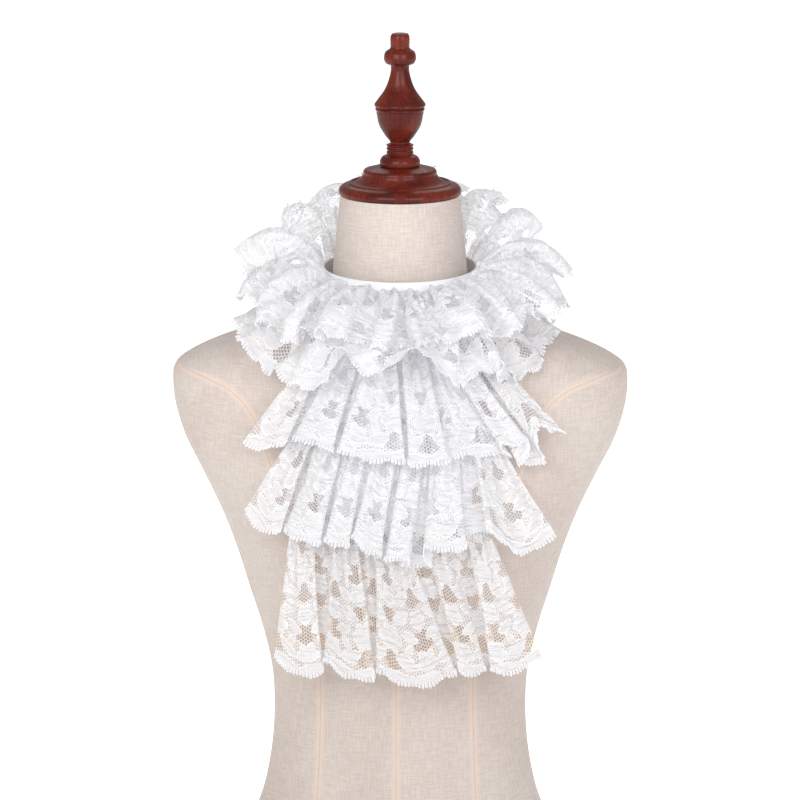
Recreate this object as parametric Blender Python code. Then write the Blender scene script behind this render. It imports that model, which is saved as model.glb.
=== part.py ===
"""A lace jabot on the limbless dress form that it rests on.

The frame: +Z is up, the form faces -Y, and the origin is at the middle of the form's flat base.
Every size is in metres. An angle round the neck is 0 at the front and grows towards +X.
"""

import math
from bisect import bisect_right
from collections import namedtuple

import bpy
import bmesh

TAU = 2 * math.pi

# Dress form: level sections of the linen body, from the base to the top of the neck
Section = namedtuple("Section", "height half_width front back squareness")
TORSO = (
    Section(0.000, 0.1300, 0.088, 0.098, 2.2),
    Section(0.026, 0.1215, 0.085, 0.094, 2.2),
    Section(0.064, 0.1145, 0.081, 0.086, 2.2),
    Section(0.102, 0.1120, 0.080, 0.081, 2.2),
    Section(0.139, 0.1140, 0.083, 0.079, 2.2),
    Section(0.176, 0.1220, 0.088, 0.080, 2.2),
    Section(0.213, 0.1330, 0.095, 0.083, 2.3),
    Section(0.250, 0.1440, 0.103, 0.087, 2.3),
    Section(0.286, 0.1570, 0.108, 0.092, 2.4),
    Section(0.322, 0.1740, 0.106, 0.095, 2.4),
    Section(0.349, 0.1875, 0.100, 0.095, 2.4),
    Section(0.376, 0.1960, 0.092, 0.092, 2.4),
    Section(0.399, 0.1984, 0.084, 0.088, 2.4),
    Section(0.412, 0.1960, 0.080, 0.085, 2.4),
    Section(0.421, 0.1840, 0.077, 0.082, 2.4),
    Section(0.430, 0.1650, 0.075, 0.078, 2.4),
    Section(0.440, 0.1380, 0.072, 0.074, 2.3),
    Section(0.449, 0.1150, 0.069, 0.070, 2.2),
    Section(0.458, 0.0910, 0.066, 0.066, 2.1),
    Section(0.466, 0.0700, 0.063, 0.063, 2.0),
    Section(0.475, 0.0612, 0.060, 0.060, 2.0),
    Section(0.494, 0.0585, 0.058, 0.058, 2.0),
    Section(0.525, 0.0555, 0.055, 0.055, 2.0),
    Section(0.561, 0.0515, 0.0515, 0.0515, 2.0),
)
TORSO_SIDES = 40

# Turned wood: radius and height of each point of the profile, from the bottom up
Turn = namedtuple("Turn", "radius height")
CAP_SIDES = 32
CAP_PROFILE = (
    Turn(0.0505, 0.5613),
    Turn(0.0528, 0.5640),
    Turn(0.0532, 0.5675),
    Turn(0.0522, 0.5710),
    Turn(0.0480, 0.5735),
    Turn(0.0400, 0.5755),
    Turn(0.0352, 0.5775),
    Turn(0.0346, 0.5805),
    Turn(0.0310, 0.5835),
    Turn(0.0236, 0.5850),
    Turn(0.0215, 0.5865),
)
FINIAL_SIDES = 20
FINIAL_PROFILE = (
    Turn(0.0150, 0.5868),
    Turn(0.0172, 0.5900),
    Turn(0.0158, 0.5935),
    Turn(0.0110, 0.5965),
    Turn(0.0118, 0.5980),
    Turn(0.0108, 0.5996),
    Turn(0.0118, 0.6012),
    Turn(0.0108, 0.6028),
    Turn(0.0118, 0.6044),
    Turn(0.0085, 0.6065),
    Turn(0.0128, 0.6125),
    Turn(0.0180, 0.6215),
    Turn(0.0203, 0.6330),
    Turn(0.0205, 0.6355),
    Turn(0.0218, 0.6372),
    Turn(0.0218, 0.6408),
    Turn(0.0205, 0.6425),
    Turn(0.0128, 0.6530),
    Turn(0.0085, 0.6660),
    Turn(0.0080, 0.6735),
    Turn(0.0133, 0.6765),
    Turn(0.0138, 0.6805),
    Turn(0.0125, 0.6850),
    Turn(0.0083, 0.6875),
    Turn(0.0083, 0.6975),
    Turn(0.0060, 0.7005),
)

# Cloth
SEAM_GAP = 0.0003
LACE_WALL = 0.0010
BAND_WALL = 0.0012
BACKING_WALL = 0.0010

# Neck band: an upright oval ring, its top a little higher at the back
BAND_HALF_WIDTH = 0.0665
BAND_HALF_DEPTH = 0.0645
BAND_TOP_FRONT = 0.4960
BAND_HEIGHT = 0.0220
BAND_BACK_RISE = 0.0060
BAND_OVERLAP = math.radians(24)
BAND_STEPS = 48
FASTENING_WALL = 0.0012
FASTENING_HEIGHT = 0.0160
FASTENING_SPAN = math.radians(16)

# Frills: at each angle from the front, the middle and the hem of the strip's own curve.
# Waves are those of the whole strip, and bunching makes them wider at the front than at the back.
Fall = namedtuple("Fall", "degrees middle_radius middle_height hem_radius hem_height swing")
Frill = namedtuple("Frill", "name seam_drop waves bunching shift segments rows falls")
FRILL_UPPER = Frill(
    "frill_upper", 0.0070, 18, 2.5, -1.3, 8, 5,
    (
        Fall(0, 0.110, 0.491, 0.118, 0.450, 0.0110),
        Fall(25, 0.112, 0.498, 0.127, 0.454, 0.0115),
        Fall(50, 0.112, 0.517, 0.141, 0.472, 0.0125),
        Fall(75, 0.103, 0.537, 0.139, 0.483, 0.0145),
        Fall(100, 0.092, 0.550, 0.126, 0.511, 0.0150),
        Fall(130, 0.083, 0.554, 0.115, 0.541, 0.0145),
        Fall(180, 0.080, 0.552, 0.103, 0.557, 0.0130),
    ),
)
FRILL_LOWER = Frill(
    "frill_lower", 0.0150, 14, 1.0, -1.4, 10, 5,
    (
        Fall(0, 0.096, 0.474, 0.119, 0.413, 0.0080),
        Fall(25, 0.100, 0.474, 0.129, 0.416, 0.0085),
        Fall(50, 0.106, 0.474, 0.143, 0.430, 0.0080),
        Fall(75, 0.106, 0.477, 0.136, 0.452, 0.0070),
        Fall(100, 0.104, 0.477, 0.131, 0.459, 0.0070),
        Fall(130, 0.102, 0.478, 0.130, 0.443, 0.0080),
        Fall(180, 0.096, 0.472, 0.114, 0.420, 0.0080),
    ),
)
FRILL_SEAM_SWING = 0.0012
FRILL_END_ANGLE = math.radians(178.6)

# Where the bib hangs: on the chest, and below the bust straight down from it
HANG_BUST_HEIGHT = 0.290
HANG_BUST_DEPTH = 0.109
HANG_SLOPE_ABOVE = 0.24
HANG_SLOPE_BELOW = 0.03
HANG_SIDE_DROP = 0.026
HANG_SIDE_REACH = 0.130
HANG_BLEND = 0.004

BACKING_HALF_WIDTH = 0.066
BACKING_TOP_HALF_WIDTH = 0.030
BACKING_YOKE = 0.010
BACKING_BOTTOM = 0.3010
BACKING_DEPTH = 0.0009

# Bib tiers: each fold's flat front at the hem, from its left edge to its right, the hem's height
# along it, and the height of the hem that shows behind it before the next fold
Fold = namedtuple("Fold", "left right hem_left hem_middle hem_right hem_behind")
Tier = namedtuple("Tier", "name top top_left top_right lift_top lift_hem swing tuck rows folds")
TIER_SEAM_SWING = 0.0010
FOLD_ROUND = 0.0008
TIERS = (
    Tier(
        "bib_tier_upper", 0.463, -0.053, 0.053, 0.0036, 0.0230, 0.0080, 0.006, 5,
        (
            Fold(-0.127, -0.090, 0.368, 0.366, 0.371, 0.372),
            Fold(-0.082, -0.051, 0.376, 0.371, 0.368, 0.367),
            Fold(-0.046, 0.008, 0.367, 0.360, 0.359, 0.360),
            Fold(0.013, 0.045, 0.357, 0.356, 0.359, 0.361),
            Fold(0.090, 0.109, 0.372, 0.371, 0.374, 0.352),
            Fold(0.119, 0.142, 0.385, 0.381, 0.378, 0.378),
        ),
    ),
    Tier(
        "bib_tier_middle", 0.404, -0.066, 0.066, 0.0036, 0.0180, 0.0080, 0.006, 5,
        (
            Fold(-0.126, -0.095, 0.309, 0.293, 0.296, 0.300),
            Fold(-0.090, -0.062, 0.295, 0.289, 0.287, 0.291),
            Fold(-0.057, -0.038, 0.291, 0.286, 0.285, 0.290),
            Fold(-0.033, -0.010, 0.294, 0.283, 0.278, 0.276),
            Fold(-0.005, 0.014, 0.275, 0.274, 0.276, 0.266),
            Fold(0.027, 0.060, 0.287, 0.283, 0.285, 0.295),
            Fold(0.080, 0.135, 0.300, 0.277, 0.290, 0.290),
        ),
    ),
    Tier(
        "bib_tier_lower", 0.306, -0.086, 0.074, 0.0040, 0.0110, 0.0080, 0.007, 5,
        (
            Fold(-0.103, -0.063, 0.180, 0.167, 0.170, 0.178),
            Fold(-0.058, -0.018, 0.182, 0.168, 0.166, 0.178),
            Fold(-0.013, 0.050, 0.173, 0.161, 0.171, 0.176),
            Fold(0.055, 0.078, 0.173, 0.170, 0.172, 0.176),
            Fold(0.083, 0.125, 0.171, 0.171, 0.180, 0.180),
        ),
    ),
)


def clear_scene():
    """Leave nothing in the file but what this script makes."""
    for thing in list(bpy.data.objects):
        bpy.data.objects.remove(thing, do_unlink=True)


def make_material(name, red, green, blue, roughness):
    """A plain surface of one colour, given in linear values."""
    material = bpy.data.materials.new(name)
    material.use_nodes = True
    shader = material.node_tree.nodes["Principled BSDF"]
    shader.inputs["Base Color"].default_value = (red, green, blue, 1.0)
    shader.inputs["Roughness"].default_value = roughness
    shader.inputs["Metallic"].default_value = 0.0
    material.diffuse_color = (red, green, blue, 1.0)
    return material


def row_between(rows, place):
    """The row of a table at a place between its rows, on a smooth curve through them."""
    places = [row[0] for row in rows]
    index = min(max(bisect_right(places, place) - 1, 0), len(rows) - 2)
    before = rows[max(index - 1, 0)]
    low = rows[index]
    high = rows[index + 1]
    after = rows[min(index + 2, len(rows) - 1)]
    span = high[0] - low[0]
    part = min(max((place - low[0]) / span, 0.0), 1.0)
    values = [place]
    for column in range(1, len(low)):
        slope_low = (high[column] - before[column]) / (high[0] - before[0]) * span
        slope_high = (after[column] - low[column]) / (after[0] - low[0]) * span
        cubic = 2 * low[column] - 2 * high[column] + slope_low + slope_high
        square = 3 * high[column] - 3 * low[column] - 2 * slope_low - slope_high
        values.append(((cubic * part + square) * part + slope_low) * part + low[column])
    return type(low)(*values)


def torso_depth(across, height):
    """How far the form's front stands out at a distance from the middle."""
    section = row_between(TORSO, height)
    share = min(abs(across) / section.half_width, 1.0)
    return section.front * (1 - share ** section.squareness) ** (1 / section.squareness)


def hang_depth(across, height):
    """How far out cloth lies that rests on the chest and falls free below the bust."""
    drop = height - HANG_BUST_HEIGHT
    slope = HANG_SLOPE_ABOVE if drop > 0 else -HANG_SLOPE_BELOW
    fall = HANG_BUST_DEPTH - HANG_SIDE_DROP * (across / HANG_SIDE_REACH) ** 2 - slope * drop
    rest = torso_depth(across, height)
    return (rest + fall + math.hypot(rest - fall, HANG_BLEND)) / 2


def add_object(name, mesh, material):
    """Put a mesh in the scene under its node's name."""
    mesh.materials.append(material)
    piece = bpy.data.objects.new(name, mesh)
    bpy.context.scene.collection.objects.link(piece)
    return piece


def smooth(mesh, degrees):
    """Shade a mesh smooth, but for edges sharper than an angle."""
    mesh.shade_smooth()
    mesh.set_sharp_from_angle(angle=math.radians(degrees))


def stacked_rings(name, rings, material, degrees):
    """A closed solid through level rings, from the lowest to the highest."""
    cells = bmesh.new()
    loops = [[cells.verts.new(point) for point in ring] for ring in rings]
    count = len(rings[0])
    for lower, upper in zip(loops, loops[1:]):
        for step in range(count):
            following = (step + 1) % count
            cells.faces.new((lower[step], lower[following], upper[following], upper[step]))
    cells.faces.new(list(reversed(loops[0])))
    cells.faces.new(loops[-1])
    mesh = bpy.data.meshes.new(name)
    cells.to_mesh(mesh)
    cells.free()
    smooth(mesh, degrees)
    return add_object(name, mesh, material)


def wall_from_grid(name, grid, wall, material):
    """A cloth wall of even thickness about a grid of points, its rows running to the hem."""
    cells = bmesh.new()
    rows = [[cells.verts.new(point) for point in row] for row in grid]
    for upper, lower in zip(rows, rows[1:]):
        for step in range(len(upper) - 1):
            cells.faces.new((upper[step], lower[step], lower[step + 1], upper[step + 1]))
    mesh = bpy.data.meshes.new(name)
    cells.to_mesh(mesh)
    cells.free()
    smooth(mesh, 60)
    piece = add_object(name, mesh, material)
    solidify = piece.modifiers.new("Wall", "SOLIDIFY")
    solidify.thickness = wall
    solidify.offset = 0.0
    return piece


def superellipse(section, turn):
    """The point of a level section at a turn round it, from the front towards +X."""
    power = 2 / section.squareness
    across = math.copysign(abs(math.sin(turn)) ** power, math.sin(turn))
    ahead = math.copysign(abs(math.cos(turn)) ** power, math.cos(turn))
    depth = section.front if ahead > 0 else section.back
    return (section.half_width * across, -depth * ahead, section.height)


def build_torso(material):
    """The linen body and neck as one smooth solid on a flat base."""
    turns = [TAU * step / TORSO_SIDES for step in range(TORSO_SIDES)]
    rings = [[superellipse(section, turn) for turn in turns] for section in TORSO]
    return stacked_rings("form_torso", rings, material, 50)


def build_turned(name, profile, sides, material):
    """A piece turned on a lathe about the form's own axis."""
    rings = []
    for point in profile:
        turns = [TAU * step / sides for step in range(sides)]
        rings.append([
            (point.radius * math.sin(turn), -point.radius * math.cos(turn), point.height)
            for turn in turns
        ])
    return stacked_rings(name, rings, material, 35)


def band_radius(angle):
    """The middle of the band's wall at an angle round the neck."""
    return 1 / math.hypot(math.sin(angle) / BAND_HALF_WIDTH, math.cos(angle) / BAND_HALF_DEPTH)


def band_top(angle):
    """The height of the band's upper edge at an angle round the neck."""
    return BAND_TOP_FRONT + BAND_BACK_RISE * (1 - math.cos(angle)) / 2


def around(angle, radius, height):
    """The point at an angle round the neck, a radius and a height."""
    return (radius * math.sin(angle), -radius * math.cos(angle), height)


def build_band(material):
    """The neck band, whose one end laps inside the other at the centre back."""
    lap = BAND_WALL + FASTENING_WALL + 2 * SEAM_GAP
    upper = []
    lower = []
    start = -math.pi
    end = math.pi + BAND_OVERLAP
    for step in range(BAND_STEPS + 1):
        angle = start + (end - start) * step / BAND_STEPS
        rise = min(max((angle - math.pi + BAND_OVERLAP) / BAND_OVERLAP, 0.0), 1.0)
        radius = band_radius(angle) - lap * rise
        top = band_top(angle)
        upper.append(around(angle, radius, top))
        lower.append(around(angle, radius, top - BAND_HEIGHT))
    return wall_from_grid("neck_band", [upper, lower], BAND_WALL, material)


def build_fastening(material):
    """The pad that joins the band's lapped ends."""
    offset = (BAND_WALL + FASTENING_WALL) / 2 + SEAM_GAP
    first = math.pi + (BAND_OVERLAP - FASTENING_SPAN) / 2
    upper = []
    lower = []
    steps = 4
    for step in range(steps + 1):
        angle = first + FASTENING_SPAN * step / steps
        radius = band_radius(angle) - offset
        top = band_top(angle) - (BAND_HEIGHT - FASTENING_HEIGHT) / 2
        upper.append(around(angle, radius, top))
        lower.append(around(angle, radius, top - FASTENING_HEIGHT))
    return wall_from_grid("band_fastening", [upper, lower], FASTENING_WALL, material)


def frill_wave(frill, angle):
    """The turn of a frill's wave at an angle, wider in some places than in others."""
    uneven = 0.45 * math.sin(3 * angle + 1.1) + 0.30 * math.sin(5 * angle + 2.3)
    return frill.waves * angle - frill.bunching * math.sin(angle) + uneven + frill.shift


def frill_point(frill, angle, part):
    """The point of a frill at an angle round the neck and a part of its width from seam to hem."""
    fall = row_between(frill.falls, abs(math.degrees(angle)))
    seam_height = band_top(angle) - frill.seam_drop
    seam_radius = band_radius(angle) + BAND_WALL / 2
    rise = abs(fall.middle_height - seam_height)
    lean = rise / math.hypot(fall.middle_radius - seam_radius, rise)
    seam_radius += SEAM_GAP + (LACE_WALL / 2 + FRILL_SEAM_SWING) * lean
    rest = 1 - part
    radius = rest * rest * seam_radius + 2 * rest * part * fall.middle_radius
    radius += part * part * fall.hem_radius
    height = rest * rest * seam_height + 2 * rest * part * fall.middle_height
    height += part * part * fall.hem_height
    run = rest * (fall.middle_radius - seam_radius) + part * (fall.hem_radius - fall.middle_radius)
    climb = rest * (fall.middle_height - seam_height) + part * (fall.hem_height - fall.middle_height)
    length = math.hypot(run, climb)
    wave = frill_wave(frill, angle)
    uneven = 1 + 0.20 * math.sin(4 * angle + 0.8) + 0.12 * math.sin(9 * angle + 2.0)
    swing = FRILL_SEAM_SWING + (fall.swing * uneven - FRILL_SEAM_SWING) * part
    out = swing * math.cos(wave)
    sideways = 0.36 * swing * math.sin(2 * wave)
    radius -= climb / length * out
    height += run / length * out
    return around(angle + sideways / radius, radius, height)


def build_frill(frill, material):
    """A gathered strip of lace round the band, open at the centre back."""
    columns = frill.waves * frill.segments
    grid = []
    for row in range(frill.rows + 1):
        part = row / frill.rows
        grid.append([
            frill_point(frill, FRILL_END_ANGLE * (2 * column / columns - 1), part)
            for column in range(columns + 1)
        ])
    return wall_from_grid(frill.name, grid, LACE_WALL, material)


def fold_columns(tier):
    """Where a tier's cloth turns at the hem: its place across, how far forward, and its height."""
    columns = []
    behind = tier.folds[0].hem_left
    for index, fold in enumerate(tier.folds):
        middle = (fold.left + fold.right) / 2
        if index > 0:
            columns.append((fold.left + tier.tuck - FOLD_ROUND, -1.0, behind))
            columns.append((fold.left + tier.tuck, -0.6, behind))
            columns.append((fold.left - FOLD_ROUND, 0.2, (behind + fold.hem_left) / 2))
        columns.append((fold.left, 0.8, fold.hem_left))
        columns.append((middle, 1.0, fold.hem_middle))
        columns.append((fold.right, 0.8, fold.hem_right))
        behind = fold.hem_behind
        if index < len(tier.folds) - 1:
            columns.append((fold.right + FOLD_ROUND, 0.2, (behind + fold.hem_right) / 2))
            columns.append((fold.right - tier.tuck, -0.6, behind))
            columns.append((fold.right - tier.tuck + FOLD_ROUND, -1.0, behind))
    return columns


def tier_point(tier, share, column, part):
    """The point of a tier at a share of its gathered top and a part of its depth."""
    place, forward, hem = column
    top = tier.top_left + (tier.top_right - tier.top_left) * share
    across = top + (place - top) * part
    height = tier.top + (hem - tier.top) * part
    swing = TIER_SEAM_SWING + (tier.swing - TIER_SEAM_SWING) * part
    lift = tier.lift_top + (tier.lift_hem - tier.lift_top) * part
    return (across, -(hang_depth(across, height) + lift + swing * forward), height)


def build_tier(tier, material):
    """One pleated strip of the bib."""
    columns = fold_columns(tier)
    grid = []
    for row in range(tier.rows + 1):
        part = row / tier.rows
        grid.append([
            tier_point(tier, index / (len(columns) - 1), column, part)
            for index, column in enumerate(columns)
        ])
    return wall_from_grid(tier.name, grid, LACE_WALL, material)


def build_backing(material):
    """The plain panel under the tiers: its top edge follows the band, and it widens below."""
    rows = 11
    steps = 12
    top = BAND_TOP_FRONT - BAND_HEIGHT - SEAM_GAP
    grid = []
    for row in range(rows + 1):
        height = top + (BACKING_BOTTOM - top) * row / rows
        free = min((top - height) / BACKING_YOKE, 1.0)
        half_width = BACKING_TOP_HALF_WIDTH + (BACKING_HALF_WIDTH - BACKING_TOP_HALF_WIDTH) * free
        line = []
        for step in range(steps + 1):
            across = half_width * (2 * step / steps - 1)
            hang = hang_depth(across, height) + BACKING_DEPTH
            band = BAND_HALF_DEPTH * math.sqrt(1 - min(across / BAND_HALF_WIDTH, 1.0) ** 2)
            line.append((across, -(band + (hang - band) * free), height))
        grid.append(line)
    return wall_from_grid("bib_backing", grid, BACKING_WALL, material)


def main():
    clear_scene()
    linen = make_material("linen", 0.72, 0.64, 0.57, 0.90)
    wood = make_material("mahogany", 0.11, 0.030, 0.022, 0.32)
    lace = make_material("lace", 0.90, 0.90, 0.93, 0.70)
    tape = make_material("tape", 0.88, 0.88, 0.90, 0.60)
    build_torso(linen)
    build_turned("neck_cap", CAP_PROFILE, CAP_SIDES, wood)
    build_turned("finial", FINIAL_PROFILE, FINIAL_SIDES, wood)
    build_band(tape)
    build_fastening(tape)
    build_frill(FRILL_UPPER, lace)
    build_frill(FRILL_LOWER, lace)
    build_backing(tape)
    for tier in TIERS:
        build_tier(tier, lace)


main()
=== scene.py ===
"""Looks of the lace jabot on its linen dress form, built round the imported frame.

Each lace piece is a thin shell that starts from the sizes of its solid and then settles as cloth. Its cut,
the place of each point in the flat lace, is kept as UVs in metres.
"""

import math
from collections import namedtuple
from functools import partial

import bmesh
import bpy
import numpy as np
from mathutils import Matrix, Vector


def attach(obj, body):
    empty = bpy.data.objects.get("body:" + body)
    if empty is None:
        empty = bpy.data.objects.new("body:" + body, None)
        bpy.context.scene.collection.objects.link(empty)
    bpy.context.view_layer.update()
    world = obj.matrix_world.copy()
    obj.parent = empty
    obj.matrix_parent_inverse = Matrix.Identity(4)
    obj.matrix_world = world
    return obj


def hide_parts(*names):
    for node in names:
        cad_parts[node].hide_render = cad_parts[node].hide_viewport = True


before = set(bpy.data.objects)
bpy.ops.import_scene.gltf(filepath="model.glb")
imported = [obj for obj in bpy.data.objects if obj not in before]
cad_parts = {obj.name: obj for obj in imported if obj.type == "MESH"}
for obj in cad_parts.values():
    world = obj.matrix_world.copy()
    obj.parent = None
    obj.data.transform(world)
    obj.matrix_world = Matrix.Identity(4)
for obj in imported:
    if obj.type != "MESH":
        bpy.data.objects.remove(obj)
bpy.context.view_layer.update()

TAU = 2 * math.pi
MM = 0.001


def rows_of(kind, *rows):
    """A table whose rows have the columns of a named kind."""
    return tuple(kind(*row) for row in rows)


# Camera: as the photo was taken, a little above the jabot and a little to its right
CAMERA_DISTANCE = 3.0
CAMERA_ELEVATION = math.radians(13.0)
CAMERA_AZIMUTH = math.radians(2.5)
LOOK_AT_HEIGHT = 0.379
FRAME_WIDTH = 0.700
SENSOR_WIDTH = 36.0

# Studio: square soft lights that face the jabot, with their size in metres and their power in watts
Light = namedtuple("Light", "name place size power colour")
LIGHTS = rows_of(
    Light,
    ("key", (-0.7, -1.5, 1.25), 1.0, 15.5, "FFFEFD"),
    ("fill", (0.85, -1.45, 1.15), 1.0, 12.5, "FCFCFF"),
    ("back_light", (0.0, 2.0, 2.2), 1.6, 9.0, "FFFFFF"),
)
LIT_POINT = (0.0, 0.0, 0.38)
WORLD_STRENGTH = 0.38

# Floor: how far it reaches each way, and its glow, which rises over a ring round a point in front of the form
FLOOR_REACH = 25.0
GLOW_CENTRE = (0.0, -1.1, 0.0)
GLOW_RING = (0.92, 1.26)
GLOW_INSIDE = 0.03
GLOW_RISE = 0.77

# Dress form: level sections of the linen body, from the base to the top of the neck
Section = namedtuple("Section", "height half_width front back squareness")
TORSO = rows_of(
    Section,
    (0.000, 0.1300, 0.088, 0.098, 2.2), (0.026, 0.1215, 0.085, 0.094, 2.2),
    (0.064, 0.1145, 0.081, 0.086, 2.2), (0.102, 0.1120, 0.080, 0.081, 2.2),
    (0.139, 0.1140, 0.083, 0.079, 2.2), (0.176, 0.1220, 0.088, 0.080, 2.2),
    (0.213, 0.1330, 0.095, 0.083, 2.3), (0.250, 0.1440, 0.103, 0.087, 2.3),
    (0.286, 0.1570, 0.108, 0.092, 2.4), (0.322, 0.1740, 0.106, 0.095, 2.4),
    (0.349, 0.1875, 0.100, 0.095, 2.4), (0.376, 0.1960, 0.092, 0.092, 2.4),
    (0.399, 0.1984, 0.084, 0.088, 2.4), (0.412, 0.1960, 0.080, 0.085, 2.4),
    (0.421, 0.1840, 0.077, 0.082, 2.4), (0.430, 0.1650, 0.075, 0.078, 2.4),
    (0.440, 0.1380, 0.072, 0.074, 2.3), (0.449, 0.1150, 0.069, 0.070, 2.2),
    (0.458, 0.0910, 0.066, 0.066, 2.1), (0.466, 0.0700, 0.063, 0.063, 2.0),
    (0.475, 0.0612, 0.060, 0.060, 2.0), (0.494, 0.0585, 0.058, 0.058, 2.0),
    (0.525, 0.0555, 0.055, 0.055, 2.0), (0.561, 0.0515, 0.0515, 0.0515, 2.0),
)
COVER_SIDES = 176
COVER_ROWS = 150

# Seams of the linen cover: height, and distance from the middle of the front or the back. One more runs up
# the middle of each half, and one up each side.
SeamPoint = namedtuple("SeamPoint", "height across")
PRINCESS_SEAM = rows_of(
    SeamPoint,
    (0.000, 0.0715), (0.100, 0.0670), (0.170, 0.0670), (0.210, 0.0700),
    (0.250, 0.0780), (0.290, 0.0880), (0.355, 0.1120), (0.384, 0.1250),
    (0.401, 0.1435), (0.409, 0.1650), (0.415, 0.1900),
)
BACK_SEAM = rows_of(
    SeamPoint,
    (0.000, 0.0700), (0.120, 0.0560), (0.260, 0.0760), (0.380, 0.0980),
    (0.440, 0.1000),
)
BODY_TOP = 0.462
MIDDLE_SEAM_REACH = 0.05
SIDE_SEAM_START = 0.06
SEAM_STEP = 0.001
NO_SEAM = 1.0
# Metres from a seam at which its parts begin to show and show in full
LINING_TAPE = (0.0050, 0.0030)
SEAM_JOINT = (0.0007, 0.0002)
SEAM_STITCHES = (0.0007, 0.0003)
SEAM_STITCHES_OFF = 0.0032

# Turned wood: radius and height of each point of the profile, from the bottom up
Turn = namedtuple("Turn", "radius height")
CAP_PROFILE = rows_of(
    Turn,
    (0.0505, 0.5613), (0.0526, 0.5624), (0.0531, 0.5645), (0.0522, 0.5672),
    (0.0494, 0.5697), (0.0452, 0.5712), (0.0438, 0.5724), (0.0420, 0.5722),
    (0.0412, 0.5714), (0.0376, 0.5728), (0.0340, 0.5756), (0.0320, 0.5790),
    (0.0316, 0.5818), (0.0302, 0.5834), (0.0270, 0.5842), (0.0215, 0.5858),
)
FINIAL_PROFILE = rows_of(
    Turn,
    (0.0168, 0.5862), (0.0174, 0.5880), (0.0172, 0.5910), (0.0152, 0.5943),
    (0.0112, 0.5965), (0.0118, 0.5980), (0.0108, 0.5996), (0.0118, 0.6012),
    (0.0108, 0.6028), (0.0118, 0.6044), (0.0085, 0.6065), (0.0128, 0.6125),
    (0.0180, 0.6215), (0.0203, 0.6320), (0.0204, 0.6340), (0.0212, 0.6347),
    (0.0211, 0.6360), (0.0203, 0.6366), (0.0217, 0.6378), (0.0220, 0.6396),
    (0.0210, 0.6413), (0.0202, 0.6424), (0.0128, 0.6530), (0.0086, 0.6650),
    (0.0082, 0.6730), (0.0118, 0.6745), (0.0136, 0.6775), (0.0138, 0.6805),
    (0.0126, 0.6845), (0.0090, 0.6872), (0.0082, 0.6885), (0.0083, 0.6965),
    (0.0072, 0.6998), (0.0056, 0.7005),
)
TURNED_SIDES = 96
TURNED_STEPS = 6
SHARP_ANGLE = math.radians(50)

# Neck band: an upright oval ring, its top a little higher at the back
SEAM_GAP = 0.0003
LACE_WALL = 0.0010
BAND_WALL = 0.0012
BAND_HALF_WIDTH = 0.0665
BAND_HALF_DEPTH = 0.0645
BAND_TOP_FRONT = 0.4960
BAND_HEIGHT = 0.0220
BAND_BACK_RISE = 0.0060
BAND_OVERLAP = math.radians(24)
BAND_STEPS = 260
BAND_ROWS = 10
FASTENING_WALL = 0.0012
FASTENING_HEIGHT = 0.0160
FASTENING_SPAN = math.radians(16)
FASTENING_STEPS = 12
FASTENING_ROWS = 8
STITCH_LENGTH = 0.0024
STITCH_THREAD = 0.0004
STITCH_INSET = 0.0018
STITCH_LINE_POINTS = 4000

# Frills: at each angle from the front, the middle and the hem of the strip's own curve
Fall = namedtuple("Fall", "degrees middle_radius middle_height hem_radius hem_height")
# Each ruffle: where its crest is, how far it swings out and in, and how far its hem droops
Ruffle = namedtuple("Ruffle", "degrees swing droop")
Frill = namedtuple("Frill", "name seam_drop falls ruffles")
FRILL_UPPER = Frill(
    "frill_upper", 0.0070,
    rows_of(
        Fall,
        (0, 0.110, 0.496, 0.119, 0.466), (25, 0.112, 0.500, 0.128, 0.462),
        (50, 0.112, 0.517, 0.141, 0.472), (75, 0.103, 0.537, 0.139, 0.483),
        (100, 0.092, 0.550, 0.126, 0.511), (130, 0.083, 0.554, 0.115, 0.541),
        (180, 0.080, 0.552, 0.103, 0.557),
    ),
    rows_of(
        Ruffle,
        (-190, 0.0120, 0.008), (-168, 0.0130, 0.010), (-149, 0.0105, 0.014), (-129, 0.0130, 0.006),
        (-111, 0.0100, 0.010), (-92, 0.0130, 0.003), (-74, 0.0105, 0.010), (-57, 0.0150, 0.003),
        (-40, 0.0115, 0.009), (-21, 0.0145, 0.001), (-3, 0.0085, 0.004), (9, 0.0075, -0.004),
        (27, 0.0160, -0.008), (45, 0.0125, 0.006), (61, 0.0150, 0.000), (77, 0.0125, 0.011),
        (94, 0.0170, 0.002), (113, 0.0130, -0.004), (132, 0.0155, 0.005), (151, 0.0110, 0.004),
        (170, 0.0135, 0.012), (192, 0.0120, 0.012),
    ),
)
FRILL_LOWER = Frill(
    "frill_lower", 0.0150,
    rows_of(
        Fall,
        (0, 0.096, 0.474, 0.119, 0.417), (25, 0.100, 0.474, 0.129, 0.422),
        (50, 0.106, 0.474, 0.143, 0.430), (75, 0.106, 0.477, 0.136, 0.452),
        (100, 0.104, 0.477, 0.131, 0.459), (130, 0.102, 0.478, 0.130, 0.443),
        (180, 0.096, 0.472, 0.114, 0.420),
    ),
    rows_of(
        Ruffle,
        (-196, 0.0080, 0.000), (-170, 0.0085, 0.004), (-145, 0.0075, -0.002), (-121, 0.0080, 0.003),
        (-98, 0.0070, 0.000), (-76, 0.0085, 0.004), (-54, 0.0075, -0.006), (-33, 0.0095, 0.004),
        (-4, 0.0080, 0.002), (22, 0.0090, -0.002), (40, 0.0075, -0.008), (59, 0.0085, 0.000),
        (80, 0.0075, 0.003), (103, 0.0070, -0.002), (126, 0.0085, 0.002), (151, 0.0075, 0.000),
        (175, 0.0085, 0.003), (199, 0.0080, 0.000),
    ),
)
FRILL_SEAM_SWING = 0.0012
FRILL_CURL = 0.44
FRILL_END_ANGLE = math.radians(178.6)

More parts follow.
